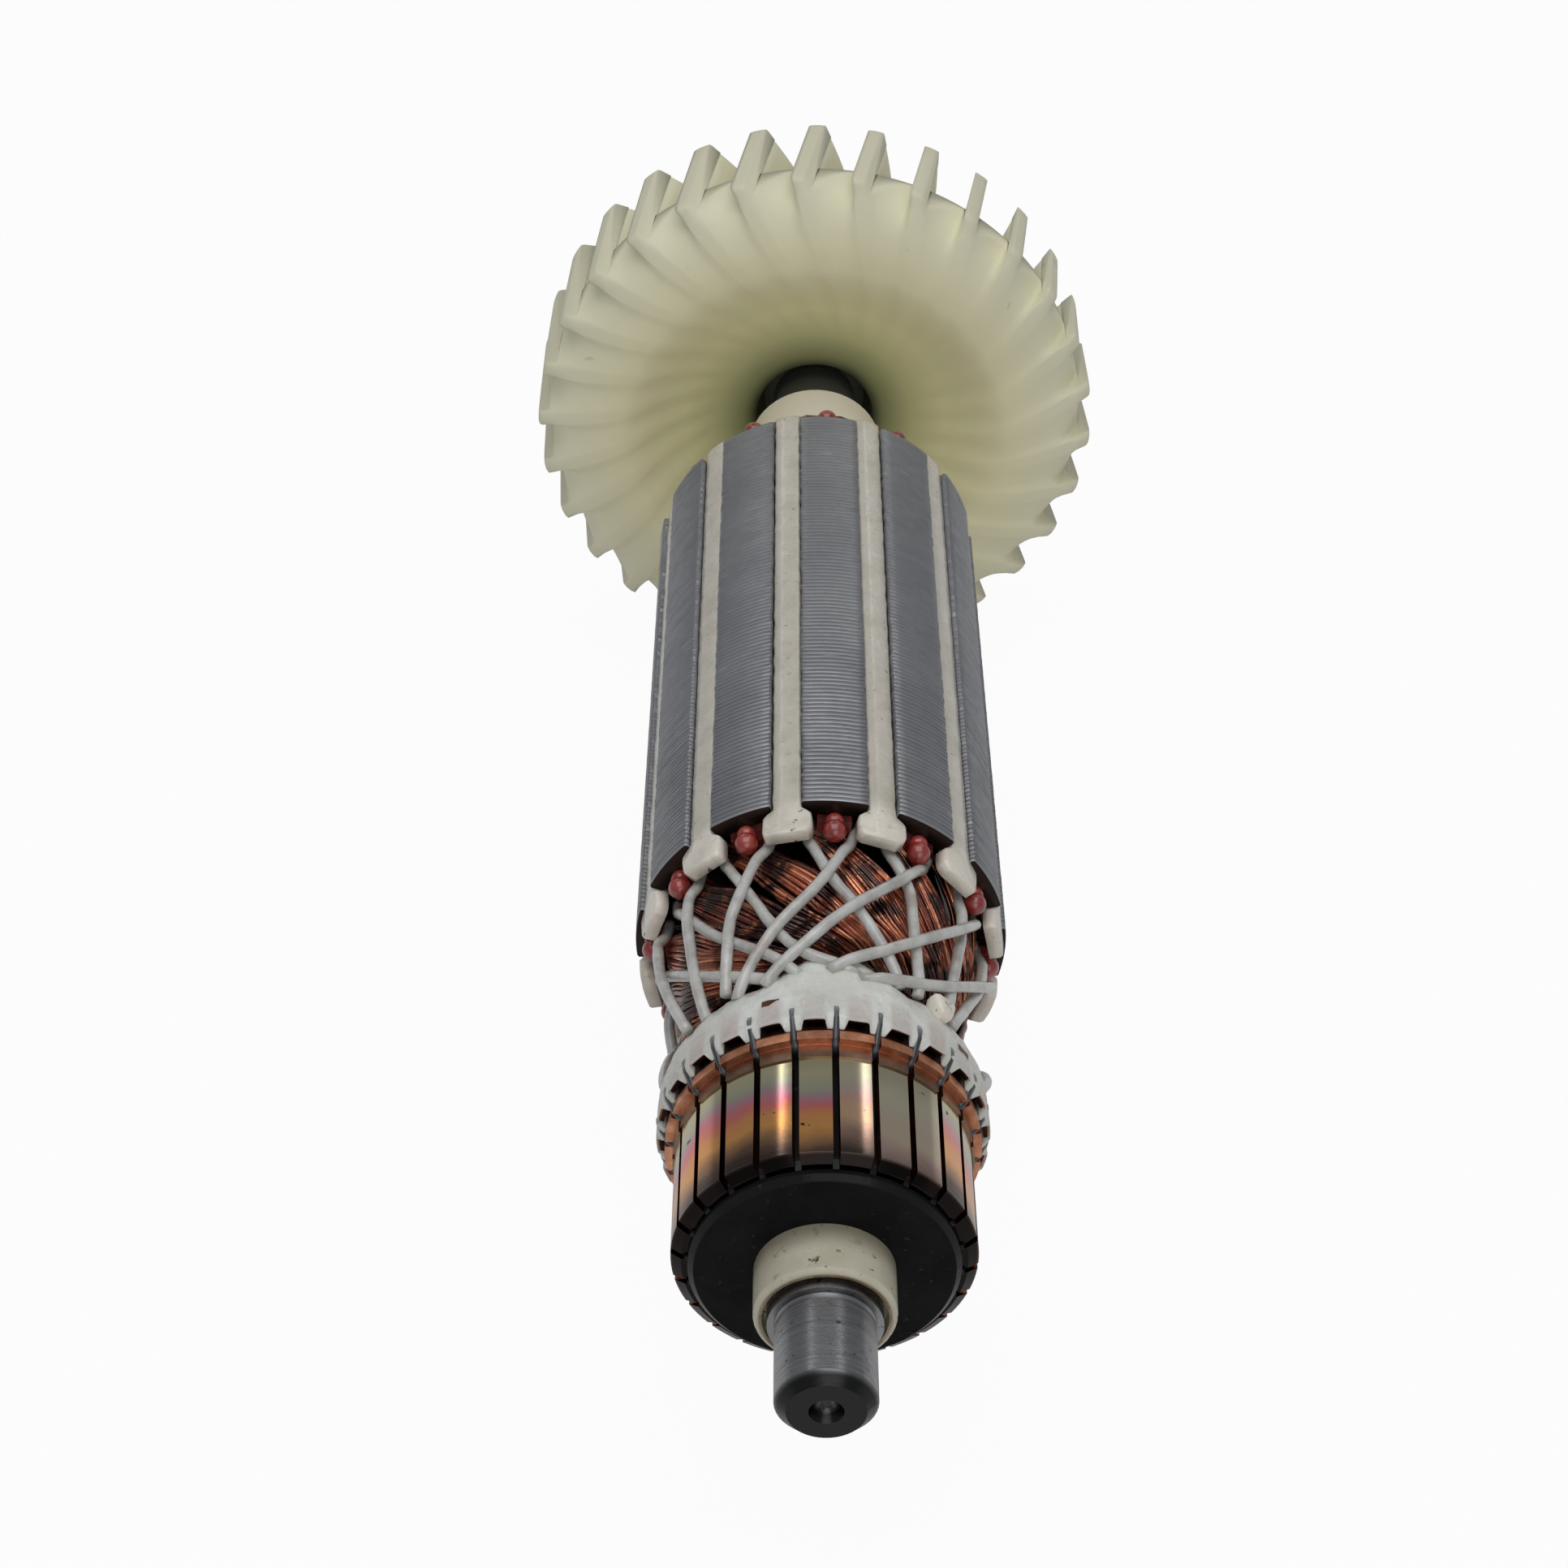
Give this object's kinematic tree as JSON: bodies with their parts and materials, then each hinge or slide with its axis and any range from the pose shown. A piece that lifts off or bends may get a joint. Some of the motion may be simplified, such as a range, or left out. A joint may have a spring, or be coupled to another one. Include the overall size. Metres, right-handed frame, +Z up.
{
  "type": "motor armature",
  "caption": "Wound armature for a small universal motor: laminated core with enamelled windings, copper commutator, insulated shaft with bearing seats, and a radial cooling fan.",
  "frame": {"origin": "middle of the bearing seat at the commutator end, on the shaft axis", "axes": "+Y along the shaft from the commutator to the fan, +Z up, +X to the right seen from the commutator end"},
  "size_m": [0.0548, 0.1623, 0.0548],
  "materials": {
    "ground_steel": "ground",
    "cream_moulding": "gloss",
    "lamination_steel": "stacked edges, satin",
    "red_fibre": "varnished",
    "slot_wedge_strip": "varnished",
    "enamelled_copper": "varnished copper wire",
    "lead_sleeving": "gloss",
    "black_moulding": "moulded phenolic",
    "commutator_copper": "turned copper, brush worn and tarnished",
    "resin": "cured resin",
    "fan_nylon": "translucent moulded nylon"
  },
  "bodies": {
    "root": {"shaft": "ground_steel", "insulating_sleeve": "cream_moulding", "lamination_stack": "lamination_steel", "slot_liners": "red_fibre", "front_end_insulator": "red_fibre", "rear_end_insulator": "red_fibre", "slot_wedge_01": "slot_wedge_strip", "slot_wedge_02": "slot_wedge_strip", "slot_wedge_03": "slot_wedge_strip", "slot_wedge_04": "slot_wedge_strip", "slot_wedge_05": "slot_wedge_strip", "slot_wedge_06": "slot_wedge_strip", "slot_wedge_07": "slot_wedge_strip", "slot_wedge_08": "slot_wedge_strip", "slot_wedge_09": "slot_wedge_strip", "slot_wedge_10": "slot_wedge_strip", "slot_wedge_11": "slot_wedge_strip", "slot_wedge_12": "slot_wedge_strip", "coil_01": "enamelled_copper", "coil_02": "enamelled_copper", "coil_03": "enamelled_copper", "coil_04": "enamelled_copper", "coil_05": "enamelled_copper", "coil_06": "enamelled_copper", "coil_07": "enamelled_copper", "coil_08": "enamelled_copper", "coil_09": "enamelled_copper", "coil_10": "enamelled_copper", "coil_11": "enamelled_copper", "coil_12": "enamelled_copper", "start_leads": "lead_sleeving", "finish_leads": "lead_sleeving", "commutator_hub": "black_moulding", "commutator_bar_01": "commutator_copper", "commutator_bar_02": "commutator_copper", "commutator_bar_03": "commutator_copper", "commutator_bar_04": "commutator_copper", "commutator_bar_05": "commutator_copper", "commutator_bar_06": "commutator_copper", "commutator_bar_07": "commutator_copper", "commutator_bar_08": "commutator_copper", "commutator_bar_09": "commutator_copper", "commutator_bar_10": "commutator_copper", "commutator_bar_11": "commutator_copper", "commutator_bar_12": "commutator_copper", "commutator_bar_13": "commutator_copper", "commutator_bar_14": "commutator_copper", "commutator_bar_15": "commutator_copper", "commutator_bar_16": "commutator_copper", "commutator_bar_17": "commutator_copper", "commutator_bar_18": "commutator_copper", "commutator_bar_19": "commutator_copper", "commutator_bar_20": "commutator_copper", "commutator_bar_21": "commutator_copper", "commutator_bar_22": "commutator_copper", "commutator_bar_23": "commutator_copper", "commutator_bar_24": "commutator_copper", "riser_resin_band": "resin", "fan": "fan_nylon"}
  },
  "joints": []
}
